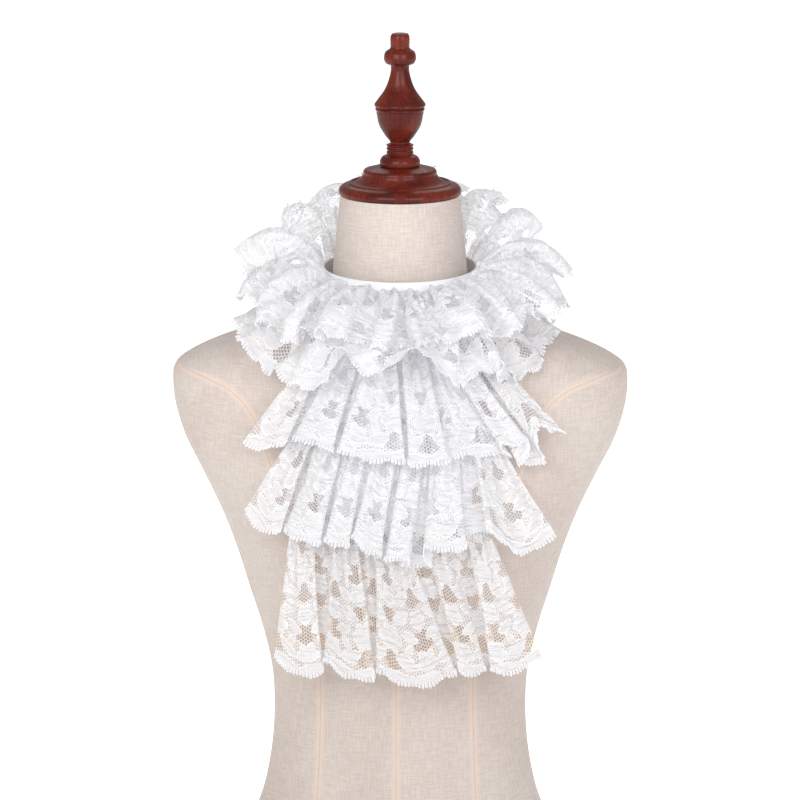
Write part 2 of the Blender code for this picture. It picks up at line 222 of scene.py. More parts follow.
# Where the bib hangs: on the chest, and below the bust straight down from it
HANG_BUST_HEIGHT = 0.290
HANG_BUST_DEPTH = 0.109
HANG_SLOPE_ABOVE = 0.24
HANG_SLOPE_BELOW = 0.03
HANG_SIDE_DROP = 0.026
HANG_SIDE_REACH = 0.130
HANG_BLEND = 0.004

BACKING_HALF_WIDTH = 0.066
BACKING_TOP_HALF_WIDTH = 0.030
BACKING_YOKE = 0.010
BACKING_BOTTOM = 0.3010
BACKING_DEPTH = 0.0009
BACKING_STEPS = 48
BACKING_ROWS = 60

# Bib tiers: each fold's flat front at the hem, from its left edge to its right, the hem's height
# along it, and the height of the hem that shows behind it before the next fold
Fold = namedtuple("Fold", "left right hem_left hem_middle hem_right hem_behind")
Tier = namedtuple("Tier", "name top top_left top_right lift_top lift_hem swing tuck folds")
TIER_SEAM_SWING = 0.0010
FOLD_ROUND = 0.0008
TIER_UPPER = Tier(
    "bib_tier_upper", 0.463, -0.053, 0.053, 0.0036, 0.0230, 0.0060, 0.006,
    rows_of(
        Fold,
        (-0.127, -0.090, 0.368, 0.366, 0.371, 0.372), (-0.082, -0.051, 0.376, 0.371, 0.368, 0.367),
        (-0.046, 0.008, 0.367, 0.360, 0.359, 0.360), (0.013, 0.045, 0.357, 0.356, 0.359, 0.361),
        (0.090, 0.109, 0.372, 0.371, 0.374, 0.352), (0.119, 0.142, 0.385, 0.381, 0.378, 0.378),
    ),
)
TIER_MIDDLE = Tier(
    "bib_tier_middle", 0.404, -0.066, 0.066, 0.0036, 0.0180, 0.0060, 0.006,
    rows_of(
        Fold,
        (-0.126, -0.095, 0.309, 0.293, 0.296, 0.300), (-0.090, -0.062, 0.295, 0.289, 0.287, 0.291),
        (-0.057, -0.038, 0.291, 0.286, 0.285, 0.290), (-0.033, -0.010, 0.294, 0.283, 0.278, 0.276),
        (-0.005, 0.014, 0.275, 0.274, 0.276, 0.266), (0.027, 0.060, 0.287, 0.283, 0.285, 0.295),
        (0.080, 0.135, 0.300, 0.277, 0.290, 0.290),
    ),
)
TIER_LOWER = Tier(
    "bib_tier_lower", 0.306, -0.086, 0.074, 0.0040, 0.0110, 0.0065, 0.007,
    rows_of(
        Fold,
        (-0.103, -0.063, 0.180, 0.167, 0.170, 0.178), (-0.058, -0.018, 0.182, 0.168, 0.166, 0.178),
        (-0.013, 0.050, 0.173, 0.161, 0.171, 0.176), (0.055, 0.078, 0.173, 0.170, 0.172, 0.176),
        (0.083, 0.125, 0.171, 0.171, 0.180, 0.180),
    ),
)

# Lace: the galloon's scalloped edge, in metres of the cut, and its picots
SCALLOP_LENGTH = 0.026
SCALLOP_DEPTH = 0.0034
SCALLOP_ROUND = 0.7
SCALLOP_MM = (SCALLOP_LENGTH * 1000, SCALLOP_DEPTH * 1000)
GATHER_SPACING = 0.024
GATHER_ROAM = 1.5
GATHER_SLOWER = 0.4
DRAWN_POINTS = 5000
MOST_LAYERS = 5.0
# Each strip before it settles: its grid, how much of its drawn width it starts with, its gathers at the
# seam and how far down they reach, the share of the cloth's growth that it takes, how firmly its
# own stiffness holds it to the drawn shape, and how many layers its fine gathers lie in
Strip = namedtuple("Strip", "step rows start gather reach growth hold fullness")
FRILL_STRIP = Strip(0.0045, 18, 0.86, 0.0036, 0.5, 1.0, 0.02, 3.2)
TIER_STRIP = Strip(0.0042, 22, 0.99, 0.0046, 0.65, 0.08, 0.9, 2.1)
HEM_STRIP = Strip(0.0042, 26, 1.0, 0.0026, 0.7, 0.03, 0.85, 1.1)

# Crumple: waves over the cut, each with its beats along and down the strip, its start and its size
Wave = namedtuple("Wave", "along down start size")
WAVES = rows_of(
    Wave,
    (61.0, 23.0, 0.4, 0.34), (-97.0, 49.0, 1.9, 0.26), (143.0, 88.0, 4.1, 0.18), (38.0, -131.0, 2.7, 0.22),
)
CRUMPLE_DRAWN = 2 * MM
CRUMPLE_SETTLED = 0.35
CRUMPLE_FINER = 2.6

# Settling: the lace grows a little as it falls, so that it buckles as cloth that was crushed does
CLOTH_FRAMES = 24
CLOTH_GROWTH = 0.20
CLOTH_GRAVITY = 0.3
CLOTH_MASS = 0.15
CLOTH_STIFFNESS = 15.0
CLOTH_SHEAR = 5.0
CLOTH_BENDING = 2.0
CLOTH_GAP = 0.0015
CLOTH_QUALITY = 5
CLOTH_AIR = 2.0
BLOCKER_TOP = 0.56
BLOCKER_BOTTOM = 0.05
BLOCKER_ROWS = 90
BLOCKER_SIDES = 96
BLOCKER_SKIN = 0.001
BLOCKER_FRICTION = 20

# Finished lace: its grid, and the picots along its hem
LACE_STEP = 0.0018
LACE_ROWS = 44
PICOT_SPACING = 0.0031
PICOT_WIDTH = 0.0015
PICOT_LENGTH = 0.0040
PICOT_THREAD = 0.0011
LOOP_SHIFT = 0.42
LOOP_SIDES = 8
THREAD_SIDES = 4
LOOP_LEAST = (0.9, 0.8, 1.0)
LOOP_MOST = (1.1, 1.2, 1.0)
LOOP_SEED = 7

# Lace pattern, in millimetres of the cut: a mirrored tile, each row of tiles half a tile along. The net's
# real cells are about 1 mm across, and they are drawn wider so that they show.
TILE_HALF_WIDTH = 36.0
TILE_HEIGHT = 54.0
PATTERN_START = 5.0
NET_CELL = 3.0
RIB_SPACING = 1.8
TAPE_RIB_SPACING = 0.9
Flower = namedtuple("Flower", "across up radius petals turn")
Leaf = namedtuple("Leaf", "across up half_length half_width turn")
FLOWERS = rows_of(
    Flower,
    (0.0, 28.0, 13.0, 6, 0.0),
    (36.0, 10.0, 10.5, 5, 90.0),
    (36.0, 44.5, 9.5, 5, 90.0),
)
LEAVES = rows_of(
    Leaf,
    (15.0, 47.5, 12.0, 5.6, 24.0),
    (22.5, 32.0, 10.0, 4.4, -24.0),
    (15.5, 10.5, 12.0, 6.0, -22.0),
    (19.5, 20.5, 8.0, 3.4, 48.0),
)
PETAL_DEPTH = 0.30
EYE_SHARE = 0.34
# Edge: how high the small fans stand above the hem, how much more in a scallop's middle, and the rim line
FAN_HEIGHT = 2.4
FAN_RISE = 6.0
RIM_HEIGHT = 0.9
# How far the pattern drifts, and the beats of the drift and of the ripples
DRIFT_REACH = (2.6, 2.6, 0)
DRIFT_BEAT = 0.11
RIPPLE_BEATS = (0.045, 0.24, 0)
# The share of light that stitches stop: the least, and what their threads add. Open lines let more through.
NET_GROUND = (0.41, 0.40)
CLOSE_STITCHES = (0.97, 0.03)
OPEN_LINES = -0.14
# Windows: the widest open net between the shapes
WINDOWS = rows_of(
    Leaf,
    (0.0, 12.0, 18.5, 11.0, 0.0),
    (0.0, 49.0, 12.5, 7.0, 0.0),
    (36.0, 27.5, 14.5, 9.5, 0.0),
)


def linear_colour(code):
    """The linear values of an sRGB colour written as six hex digits."""
    channels = [int(code[place:place + 2], 16) / 255 for place in (0, 2, 4)]
    bent = [c / 12.92 if c <= 0.04045 else ((c + 0.055) / 1.055) ** 2.4 for c in channels]
    return (*bent, 1.0)


def put(tree, kind, sockets=None, **settings):
    """Add a node with its settings; each socket takes a value, or a link from a node or an output."""
    made = tree.nodes.new(kind)
    for name, value in settings.items():
        setattr(made, name, value)
    for name, value in (sockets or {}).items():
        if isinstance(value, bpy.types.Node):
            tree.links.new(value.outputs[0], made.inputs[name])
        elif isinstance(value, bpy.types.NodeSocket):
            tree.links.new(value, made.inputs[name])
        else:
            made.inputs[name].default_value = value
    return made


def maths(tree, operation, *values, **settings):
    """Work on numbers, given in the order of the node's sockets."""
    return put(tree, "ShaderNodeMath", dict(enumerate(values)), operation=operation, **settings)


def vector_maths(tree, operation, *values):
    """Work on vectors, given in the order of the node's sockets."""
    return put(tree, "ShaderNodeVectorMath", dict(enumerate(values)), operation=operation)


def blend(tree, share, low, high, **settings):
    """A colour between two, each of them hex digits or the colour from another node."""
    ends = [linear_colour(tone) if isinstance(tone, str) else tone for tone in (low, high)]
    sockets = {"Factor": share, 6: ends[0], 7: ends[1]}
    return put(tree, "ShaderNodeMix", sockets, data_type="RGBA", **settings).outputs[2]


def noise(tree, place, scale, detail=2.0, dimensions="3D", **sockets):
    """Smooth noise, whose other sockets are given by name."""
    sockets = {"Vector": place, "Scale": scale, "Detail": detail, **sockets}
    return put(tree, "ShaderNodeTexNoise", sockets, noise_dimensions=dimensions)


def step_up(tree, value, low, high):
    """0 below low, 1 above high, and smooth between."""
    return put(tree, "ShaderNodeMapRange", {
        "Value": value, "From Min": low, "From Max": high, "To Min": 0.0, "To Max": 1.0,
    }, interpolation_type="SMOOTHSTEP", clamp=True)


def largest(tree, values):
    """The largest of several values."""
    best = values[0]
    for value in values[1:]:
        best = maths(tree, "MAXIMUM", best, value)
    return best


def object_place(tree):
    """The place on the object, in metres."""
    return put(tree, "ShaderNodeTexCoord").outputs["Object"]


def cut_in_millimetres(tree):
    """The place in the flat cloth."""
    cut = put(tree, "ShaderNodeUVMap", uv_map="cut")
    return put(tree, "ShaderNodeVectorMath", {0: cut, "Scale": 1000.0}, operation="SCALE")


def relief(tree, height, strength, depth):
    """A bump of a depth in millimetres."""
    return put(tree, "ShaderNodeBump", {"Height": height, "Strength": strength, "Distance": depth * MM})


def surface_of(tree, colour, roughness, bump):
    """The surface that most finishes share."""
    sockets = {"Base Color": colour, "Roughness": roughness, "Normal": bump}
    return put(tree, "ShaderNodeBsdfPrincipled", sockets)


def new_material(name):
    """An empty node material and its tree."""
    material = bpy.data.materials.new(name)
    material.use_nodes = True
    material.node_tree.nodes.clear()
    return material, material.node_tree


def smooth_between(start, end, slope_start, slope_end, part):
    """Values on the way from start to end that leave and arrive at given slopes."""
    cubic = 2 * start - 2 * end + slope_start + slope_end
    square = 3 * end - 3 * start - 2 * slope_start - slope_end
    return ((cubic * part + square) * part + slope_start) * part + start


def curve_through(rows, places):
    """Smooth values of a table's columns at many places between its rows, a row for each column."""
    table = np.array(rows, float)
    keys = table[:, 0]
    index = np.clip(np.searchsorted(keys, places, side="right") - 1, 0, len(keys) - 2)
    before = table[np.maximum(index - 1, 0)]
    low = table[index]
    high = table[index + 1]
    after = table[np.minimum(index + 2, len(keys) - 1)]
    span = (high[..., 0] - low[..., 0])[..., None]
    part = np.clip((places - low[..., 0]) / span[..., 0], 0.0, 1.0)[..., None]
    slope_low = (high - before) / (high[..., :1] - before[..., :1]) * span
    slope_high = (after - low) / (after[..., :1] - low[..., :1]) * span
    return np.moveaxis(smooth_between(low, high, slope_low, slope_high, part), -1, 0)[1:]


def along_path(points):
    """The distance along a line of points at each of them."""
    steps = np.linalg.norm(np.diff(points, axis=0), axis=1)
    return np.concatenate([[0.0], np.cumsum(steps)])


def even_places(length, spacing):
    """Distances along a line at the middles of even steps."""
    count = int(length[-1] / spacing)
    return (np.arange(count) + 0.5) * length[-1] / count


def at_places(places, length, vectors):
    """Vectors at distances along a line, from those at its points."""
    return np.stack([np.interp(places, length, vectors[:, axis]) for axis in range(3)], axis=-1)


def unit(vectors):
    """Vectors of length one along a row of vectors."""
    return vectors / np.linalg.norm(vectors, axis=1, keepdims=True)


def grid_normals(points):
    """The outward side of a grid of points whose rows run down and whose columns run to +X in front."""
    normals = np.cross(np.gradient(points, axis=0), np.gradient(points, axis=1))
    return normals / np.maximum(np.linalg.norm(normals, axis=2, keepdims=True), 1e-12)


def grid_faces(rows, columns, first=0):
    """The four corners of each cell of a grid of points, counted from its first point."""
    corner = (first + np.arange(rows - 1)[:, None] * columns + np.arange(columns - 1)).reshape(-1, 1)
    return (corner + np.array([0, columns, columns + 1, 1])).tolist()


def add_object(name, data):
    """A new object of the scene."""
    made = bpy.data.objects.new(name, data)
    bpy.context.scene.collection.objects.link(made)
    return made


def add_mesh(name, points, faces, material):
    """A new object with its mesh in the row frame."""
    mesh = bpy.data.meshes.new(name)
    mesh.from_pydata([tuple(point) for point in points], [], faces)
    if material:
        mesh.materials.append(material)
    mesh.shade_smooth()
    mesh.update()
    return add_object(name, mesh)


def add_grid(name, points, cut, material):
    """A surface through a grid of points, with cut giving each point's place in the flat cloth."""
    made = add_mesh(name, points.reshape(-1, 3), grid_faces(*points.shape[:2]), material)
    if cut is not None:
        layer = made.data.uv_layers.new(name="cut")
        corners = np.empty(len(made.data.loops), np.int32)
        made.data.loops.foreach_get("vertex_index", corners)
        layer.data.foreach_set("uv", cut.reshape(-1, 2)[corners].ravel().astype(np.float32))
    return made


def mark_points(mesh, name, values):
    """Keep a number on each point of a mesh."""
    mesh.attributes.new(name, "FLOAT", "POINT").data.foreach_set("value", values.ravel().astype(np.float32))


def declare(piece, slot, *nodes):
    """Tie a finished piece to the frame and hide the solids that it stands for; its slot is not used."""
    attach(piece, "root")
    if nodes:
        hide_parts(*nodes)


def superellipse(half_width, front, back, squareness, turn):
    """Points of level sections at turns round them, from the front towards +X."""
    power = 2 / squareness
    across = np.sign(np.sin(turn)) * np.abs(np.sin(turn)) ** power
    ahead = np.sign(np.cos(turn)) * np.abs(np.cos(turn)) ** power
    depth = np.where(ahead > 0, front, back)
    return half_width * across, -depth * ahead


def torso_points(heights, sides):
    """A grid of points on the linen body, from its centre back round to it again."""
    turns = TAU * np.arange(sides + 1) / sides - math.pi
    height, turn = np.meshgrid(heights, turns, indexing="ij")
    across, depth = superellipse(*curve_through(TORSO, height), turn)
    return np.stack([across, depth, height], axis=-1)


def torso_depth(across, height):
    """How far the form's front stands out at distances from the middle."""
    half_width, front, _, squareness = curve_through(TORSO, height)
    share = np.minimum(np.abs(across) / half_width, 1.0)
    return front * (1 - share ** squareness) ** (1 / squareness)


def hang_depth(across, height):
    """How far out cloth lies that rests on the chest and falls free below the bust."""
    drop = height - HANG_BUST_HEIGHT
    slope = np.where(drop > 0, HANG_SLOPE_ABOVE, -HANG_SLOPE_BELOW)
    fall = HANG_BUST_DEPTH - HANG_SIDE_DROP * (across / HANG_SIDE_REACH) ** 2 - slope * drop
    rest = torso_depth(across, height)
    return (rest + fall + np.hypot(rest - fall, HANG_BLEND)) / 2


def band_radius(angle):
    """The middle of the band's wall at angles round the neck."""
    return 1 / np.hypot(np.sin(angle) / BAND_HALF_WIDTH, np.cos(angle) / BAND_HALF_DEPTH)


def band_top(angle):
    """The height of the band's upper edge at angles round the neck."""
    return BAND_TOP_FRONT + BAND_BACK_RISE * (1 - np.cos(angle)) / 2


def around(angle, radius, height):
    """Points at angles round the neck, radii and heights."""
    return np.stack([radius * np.sin(angle), -radius * np.cos(angle), height + 0 * angle], axis=-1)


def make_camera():
    """The photo's viewpoint."""
    sin_e, cos_e = math.sin(CAMERA_ELEVATION), math.cos(CAMERA_ELEVATION)
    sin_a, cos_a = math.sin(CAMERA_AZIMUTH), math.cos(CAMERA_AZIMUTH)
    back = Vector((sin_a * cos_e, -cos_a * cos_e, sin_e))
    right = Vector((cos_a, sin_a, 0.0))
    up = Vector((-sin_a * sin_e, cos_a * sin_e, cos_e))
    place = Vector((0, 0, LOOK_AT_HEIGHT)) + back * CAMERA_DISTANCE
    lens = bpy.data.cameras.new("camera")
    lens.sensor_width = SENSOR_WIDTH
    lens.lens = SENSOR_WIDTH * CAMERA_DISTANCE / FRAME_WIDTH
    camera = add_object("camera", lens)
    camera.matrix_world = Matrix((
        (right.x, up.x, back.x, place.x),
        (right.y, up.y, back.y, place.y),
        (right.z, up.z, back.z, place.z),
        (0, 0, 0, 1),
    ))
    bpy.context.scene.camera = camera


def make_studio():
    """Large soft lights from both sides and behind, in a pale room."""
    for light in LIGHTS:
        lamp = bpy.data.lights.new(light.name, "AREA")
        lamp.size = light.size
        lamp.energy = light.power
        lamp.color = linear_colour(light.colour)[:3]
        holder = add_object(light.name, lamp)
        holder.location = light.place
        facing = Vector(LIT_POINT) - Vector(light.place)
        holder.rotation_euler = facing.to_track_quat("-Z", "Y").to_euler()
    world = bpy.data.worlds.new("studio")
    world.use_nodes = True
    bpy.context.scene.world = world
    background = world.node_tree.nodes["Background"]
    background.inputs["Color"].default_value = linear_colour("FFFFFF")
    background.inputs["Strength"].default_value = WORLD_STRENGTH
    bpy.context.scene.view_settings.view_transform = "Standard"


def matte_floor_material():
    """Seamless studio paper over a light table: matt and white with the faintest mottle, and lit less
    from below in front of the form, where its glow would wash out the waist."""
    material, tree = new_material("seamless_paper")
    place = object_place(tree)
    tone = blend(tree, noise(tree, place, 3.0), "FBFBFB", "FFFFFF")
    surface = put(tree, "ShaderNodeBsdfPrincipled", {"Base Color": tone, "Roughness": 0.95})
    surface.inputs["Specular IOR Level"].default_value = 0.1
    surface.inputs["Emission Color"].default_value = linear_colour("FFFFFF")
    off = vector_maths(tree, "DISTANCE", place, GLOW_CENTRE)
    lit = step_up(tree, off.outputs["Value"], *GLOW_RING)
    glow = maths(tree, "MULTIPLY_ADD", lit, GLOW_RISE, GLOW_INSIDE)
    tree.links.new(glow.outputs[0], surface.inputs["Emission Strength"])
    put(tree, "ShaderNodeOutputMaterial", {"Surface": surface})
    return material


def make_floor():
    """A level floor, so wide that no view shows its edge."""
    sides = np.array([-FLOOR_REACH, FLOOR_REACH])
    across, depth = np.meshgrid(sides, sides)
    points = np.stack([across, depth, 0 * across], axis=-1)
    add_grid("floor", points[::-1], None, matte_floor_material())


def scallop(along):
    """How far the lace's edge stands below its base line at distances along the cut."""
    return SCALLOP_DEPTH * np.abs(np.sin(np.pi * along / SCALLOP_LENGTH)) ** SCALLOP_ROUND


def flower_field(tree, place, flower):
    """Millimetres inside a flower's edge, and off its eye and the lines between its petals."""
    centred = vector_maths(tree, "SUBTRACT", place, (flower.across, flower.up, 0))
    sides = put(tree, "ShaderNodeSeparateXYZ", {0: centred})
    reach = vector_maths(tree, "LENGTH", centred).outputs["Value"]
    turn = maths(tree, "ARCTAN2", sides.outputs["Y"], sides.outputs["X"])
    beats = flower.petals / 2
    lobes = maths(tree, "MULTIPLY_ADD", turn, beats, math.radians(flower.turn) * beats)
    wave = maths(tree, "ABSOLUTE", maths(tree, "COSINE", lobes))
    edge = maths(tree, "MULTIPLY_ADD", wave, PETAL_DEPTH * flower.radius, (1 - PETAL_DEPTH) * flower.radius)
    outer = maths(tree, "SUBTRACT", edge, reach)
    eye = maths(tree, "SUBTRACT", EYE_SHARE * flower.radius, reach)
    spread = maths(tree, "MULTIPLY", wave, reach)
    between = maths(tree, "MAXIMUM", maths(tree, "MULTIPLY", spread, 2 / flower.petals), eye)
    return outer, maths(tree, "MINIMUM", between, maths(tree, "ABSOLUTE", eye))


def leaf_field(tree, place, leaf):
    """Millimetres inside a leaf's edge, and the distance from its middle vein."""
    centre = (leaf.across, leaf.up, 0)
    turned = put(tree, "ShaderNodeVectorRotate", {
        "Vector": place, "Center": centre, "Angle": math.radians(-leaf.turn),
    }, rotation_type="Z_AXIS")
    sides = put(tree, "ShaderNodeSeparateXYZ", {0: vector_maths(tree, "SUBTRACT", turned, centre)})
    share = maths(tree, "DIVIDE", sides.outputs["X"], leaf.half_length)
    bulge = maths(tree, "MULTIPLY", share, share)
    width = maths(tree, "MULTIPLY_ADD", bulge, -leaf.half_width, leaf.half_width)
    off = maths(tree, "ABSOLUTE", sides.outputs["Y"])
    return maths(tree, "SUBTRACT", width, off), off


def lace_place(tree, flat):
    """The place in the pattern's tile, which is mirrored across, and drifts a little as worn lace does."""
    drift = noise(tree, flat, DRIFT_BEAT, 1.0, "2D")
    shifted = vector_maths(tree, "MULTIPLY_ADD", drift.outputs["Color"], DRIFT_REACH, flat)
    sides = put(tree, "ShaderNodeSeparateXYZ", {0: shifted})
    raised = maths(tree, "SUBTRACT", sides.outputs["Y"], PATTERN_START)
    row = maths(tree, "FLOOR", maths(tree, "DIVIDE", raised, TILE_HEIGHT))
    offset = maths(tree, "MULTIPLY_ADD", row, TILE_HALF_WIDTH, sides.outputs["X"])
    across = maths(tree, "PINGPONG", offset, TILE_HALF_WIDTH)
    up = maths(tree, "FLOORED_MODULO", raised, TILE_HEIGHT)
    return put(tree, "ShaderNodeCombineXYZ", {"X": across, "Y": up}), sides.outputs["Y"]


def lace_edge(tree, flat):
    """Millimetres from the scalloped hem, and inside the small fans above it."""
    sides = put(tree, "ShaderNodeSeparateXYZ", {0: flat})
    swing = maths(tree, "MULTIPLY", sides.outputs["X"], math.pi / SCALLOP_MM[0])
    bow = maths(tree, "ABSOLUTE", maths(tree, "SINE", swing))
    round_bow = maths(tree, "POWER", bow, SCALLOP_ROUND)
    edge = maths(tree, "MULTIPLY_ADD", round_bow, SCALLOP_MM[1], sides.outputs["Y"])
    fan_edge = maths(tree, "MULTIPLY_ADD", bow, FAN_RISE, FAN_HEIGHT)
    return edge, maths(tree, "SUBTRACT", fan_edge, edge)


def lace_net(tree, flat):
    """Three families of threads at sixty degrees, which are largest in the middle of a cell."""
    wave = 4 * math.pi / (math.sqrt(3) * NET_CELL)
    beats = []
    for turn in (0.0, 60.0, 120.0):
        direction = (wave * math.cos(math.radians(turn)), wave * math.sin(math.radians(turn)), 0)
        phase = vector_maths(tree, "DOT_PRODUCT", flat, direction).outputs["Value"]
        beats.append(maths(tree, "COSINE", phase))
    return maths(tree, "ADD", maths(tree, "ADD", beats[0], beats[1]), beats[2])


def lace_material():
    """Cotton galloon lace, machine made: flowers and leaves of close ribbed stitches in a cord outline,
    on a six-sided net, so that white shapes stand out from patches that show what lies behind."""
    material, tree = new_material("cotton_galloon_lace")
    flat = cut_in_millimetres(tree)
    place, drifted_up = lace_place(tree, flat)
    flowers = [flower_field(tree, place, flower) for flower in FLOWERS]
    leaves = [leaf_field(tree, place, leaf) for leaf in LEAVES]
    windows = [leaf_field(tree, place, window)[0] for window in WINDOWS]
    edge, fan = lace_edge(tree, flat)

    # Windows open only between the shapes
    shapes = largest(tree, [outer for outer, _ in flowers] + [inside for inside, _ in leaves] + [fan])
    outside = maths(tree, "MULTIPLY_ADD", shapes, -1.0, -0.5)
    opening = maths(tree, "MINIMUM", largest(tree, windows), outside)
    close = step_up(tree, shapes, -0.2, 0.2)
    opened = step_up(tree, opening, -0.15, 0.15)

    # The net is bare in the windows, and thicker between the shapes
    mesh = lace_net(tree, flat)
    net = step_up(tree, mesh, -0.35, -1.15)
    ground = step_up(tree, mesh, 1.6, -0.6)

    # Close shapes: rows of stitches across each, with open lines between petals, along veins and at the rim
    rib_beat = maths(tree, "MULTIPLY", drifted_up, TAU / RIB_SPACING)
    ribs = step_up(tree, maths(tree, "SINE", rib_beat), -1.0, 1.0)
    lines = []
    for inside, off in flowers + leaves:
        line = step_up(tree, off, 0.55, 0.2)
        lines.append(maths(tree, "MULTIPLY", line, step_up(tree, inside, 0.9, 1.4)))
    rim_off = maths(tree, "ABSOLUTE", maths(tree, "SUBTRACT", edge, RIM_HEIGHT))
    lines.append(step_up(tree, rim_off, 0.45, 0.2))
    stitches = maths(tree, "MULTIPLY_ADD", ribs, CLOSE_STITCHES[1], CLOSE_STITCHES[0])
    sheer = maths(tree, "MULTIPLY_ADD", ground, NET_GROUND[1], NET_GROUND[0])
    cloth_share = put(tree, "ShaderNodeMix", {0: close, 2: sheer, 3: stitches})
    lined = maths(tree, "MULTIPLY_ADD", largest(tree, lines), OPEN_LINES, cloth_share)
    single = put(tree, "ShaderNodeMix", {0: opened, 2: lined, 3: net}, clamp_factor=True)

    # Gathered lace lies in more than one layer, in folds too fine for the shell
    layers = put(tree, "ShaderNodeAttribute", attribute_name="layers").outputs["Fac"]
    seen_through = maths(tree, "POWER", maths(tree, "SUBTRACT", 1.0, single), layers)
    threads = maths(tree, "SUBTRACT", 1.0, seen_through, use_clamp=True)

    # Relief: ribs of stitches, and soft ripples that lie across the strip, as on lace that was folded
    # small and never pressed
    stretched = vector_maths(tree, "MULTIPLY", flat, RIPPLE_BEATS)
    ripples = noise(tree, stretched, 1.0, 2.0, "2D", Distortion=0.6)
    bump = relief(tree, maths(tree, "MULTIPLY_ADD", ribs, 0.06, ripples), 1.0, 3.0)

    # Painted highlight: the cords round the shapes and windows are drawn whiter than the dull stitches inside
    # a shape, in place of the relief by which the raised cords catch the light
    nearest = maths(tree, "MINIMUM", maths(tree, "ABSOLUTE", shapes), maths(tree, "ABSOLUTE", opening))
    tone = blend(tree, step_up(tree, nearest, 1.1, 0.4), "F1F1F3", "FFFFFF")
    cotton = surface_of(tree, tone, 0.62, bump)
    cotton.inputs["Specular IOR Level"].default_value = 0.35
    cotton.inputs["Sheen Weight"].default_value = 0.15
    # Painted light: the cotton glows faintly on its own, which keeps its shaded folds light
    cotton.inputs["Emission Color"].default_value = linear_colour("FCFCFD")
    cotton.inputs["Emission Strength"].default_value = 0.11
    through = put(tree, "ShaderNodeBsdfTranslucent", {"Color": tone, "Normal": bump})
    cloth = put(tree, "ShaderNodeMixShader", {0: 0.40, 1: cotton, 2: through})

    # Painted shade: the gaps of a single layer of net dim and warm the linen seen through them, as the shaded
    # linen under the lace looks; gathered layers stay neutral
    painted_shade_tint = blend(tree, step_up(tree, layers, 1.2, 2.0), "F6E6D3", "FAFAFD")
    clear = put(tree, "ShaderNodeBsdfTransparent", {"Color": painted_shade_tint})
    surface = put(tree, "ShaderNodeMixShader", {0: threads, 1: clear, 2: cloth})
    put(tree, "ShaderNodeOutputMaterial", {"Surface": surface})
    return material


def picot_material():
    """Cotton cord of the picots and stitches: matt white thread, with painted shade where its twist lies low.
    """
    material, tree = new_material("cotton_picot_thread")
    twist = noise(tree, object_place(tree), 900.0)
    # Painted shade: the thread is darker where the twist noise, which also makes its bump, is low
    tone = blend(tree, twist, "F0F0F4", "FDFDFF")
    thread = surface_of(tree, tone, 0.7, relief(tree, twist, 0.3, 0.1))
    put(tree, "ShaderNodeOutputMaterial", {"Surface": thread})
    return material


def tape_material():
    """Woven cotton tape with a satin face: smooth, bright white, fine ribs across its length."""
    material, tree = new_material("cotton_satin_tape")
    flat = cut_in_millimetres(tree)
    sides = put(tree, "ShaderNodeSeparateXYZ", {0: flat})
    rib = maths(tree, "SINE", maths(tree, "MULTIPLY", sides.outputs["X"], TAU / TAPE_RIB_SPACING))
    slub = noise(tree, flat, 0.35, 3.0)
    tone = blend(tree, slub, "EEEEF3", "FCFCFE")
    height = maths(tree, "MULTIPLY_ADD", rib, 0.3, slub)
    tape = surface_of(tree, tone, 0.42, relief(tree, height, 0.25, 0.15))
    tape.inputs["Sheen Weight"].default_value = 0.2
    put(tree, "ShaderNodeOutputMaterial", {"Surface": tape})
    return material


def linen_material():
    """Natural linen, plain woven and unbleached: uneven threads both ways, matt, with seams that show
    the warmer lining tape pressed open under them."""
    material, tree = new_material("natural_linen")
    flat = cut_in_millimetres(tree)
    threads = []
    for stretch in ((1.0, 0.09, 1.0), (0.09, 1.0, 1.0)):
        drawn = vector_maths(tree, "MULTIPLY", flat, stretch)
        threads.append(noise(tree, drawn, 0.85, 2.0, "2D", Roughness=0.6))
    level = step_up(tree, maths(tree, "ADD", *threads), 0.72, 1.28)
    thread_tone = blend(tree, level, "CABFB9", "D7CEC8")
    patch = step_up(tree, noise(tree, object_place(tree), 12.0), 0.35, 0.65)
    patch_tone = blend(tree, patch, "FAF6F3", "FFFEFB")
    cloth = blend(tree, 1.0, thread_tone, patch_tone, blend_type="MULTIPLY")

    # Seams: the tape under each, the joint itself and a row of stitches each side of it, by metres from it
    seam = put(tree, "ShaderNodeAttribute", attribute_name="seam")
    off = maths(tree, "ABSOLUTE", seam.outputs["Fac"])
    tape_share = maths(tree, "MULTIPLY", step_up(tree, off, *LINING_TAPE), 0.42)
    warm = blend(tree, tape_share, cloth, "EAD3C3")
    joint = step_up(tree, off, *SEAM_JOINT)
    rows_off = maths(tree, "ABSOLUTE", maths(tree, "SUBTRACT", off, SEAM_STITCHES_OFF))
    rows = step_up(tree, rows_off, *SEAM_STITCHES)
    marks = maths(tree, "MULTIPLY_ADD", rows, 0.35, joint, use_clamp=True)
    seamed = blend(tree, maths(tree, "MULTIPLY", marks, 0.35), warm, "B79F8B")

    height = maths(tree, "MULTIPLY_ADD", joint, -1.2, level)
    linen = surface_of(tree, seamed, 0.85, relief(tree, height, 0.4, 0.25))
    linen.inputs["Specular IOR Level"].default_value = 0.25
    linen.inputs["Sheen Weight"].default_value = 0.12
    put(tree, "ShaderNodeOutputMaterial", {"Surface": linen})
    return material


